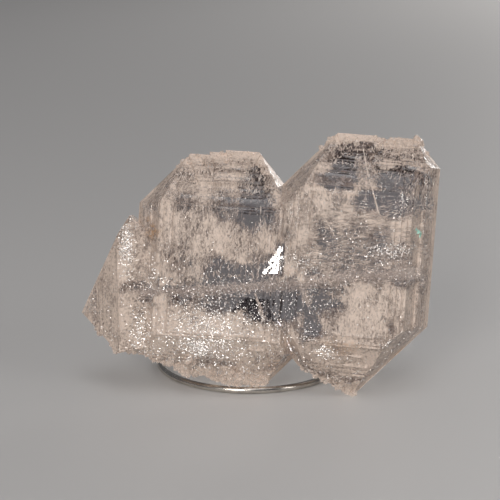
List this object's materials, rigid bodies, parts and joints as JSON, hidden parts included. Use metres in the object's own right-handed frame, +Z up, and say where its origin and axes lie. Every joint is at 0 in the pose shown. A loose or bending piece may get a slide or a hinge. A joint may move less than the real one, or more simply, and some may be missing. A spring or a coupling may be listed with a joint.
{
  "type": "faden quartz cluster on a ring stand",
  "caption": "Clear tabular quartz crystals grown side by side into one plate, with a milky thread across it, standing on a plain wire ring.",
  "frame": {"origin": "on the surface it stands on, under the middle of the whole piece's box", "axes": "+Z up, +X to the right along the plate of crystals, -Y to the front, the way that the broad faces look"},
  "size_m": [0.0448, 0.0286, 0.032],
  "materials": {
    "quartz": "clear crystal with milky veils and a white thread",
    "ring_stand": "polished round wire"
  },
  "bodies": {
    "root": {"quartz": "quartz", "ring_stand": "ring_stand"}
  },
  "joints": []
}
